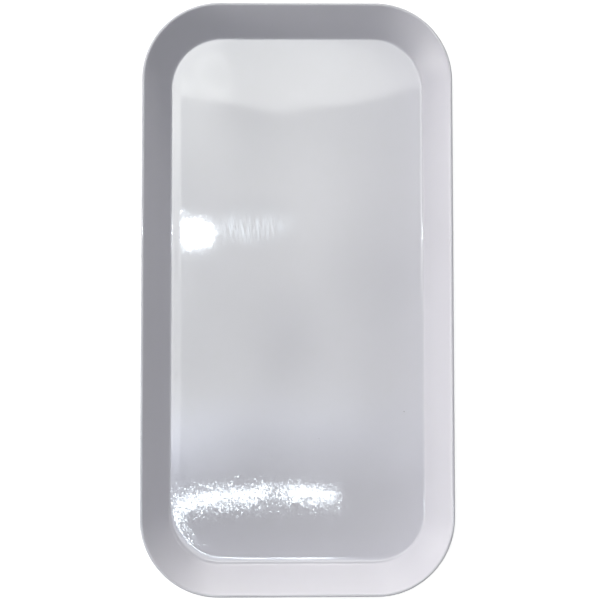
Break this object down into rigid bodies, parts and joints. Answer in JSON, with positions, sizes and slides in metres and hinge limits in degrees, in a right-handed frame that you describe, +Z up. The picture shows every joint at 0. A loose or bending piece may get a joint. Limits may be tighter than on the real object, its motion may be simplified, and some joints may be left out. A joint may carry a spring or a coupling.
{
  "type": "paint tray",
  "caption": "Shallow open plastic paint tray with rounded corners, leaning walls, a rounded rim and a gently crowned floor.",
  "frame": {"origin": "middle of the underside, on the plane of the foot ridge that the tray stands on", "axes": "+X across the tray, +Y along it, +Z up out of its open top"},
  "size_m": [0.2, 0.38, 0.028],
  "materials": {
    "tray_plastic": "glossy, as moulded"
  },
  "bodies": {
    "root": {"tray": "tray_plastic"}
  },
  "joints": []
}
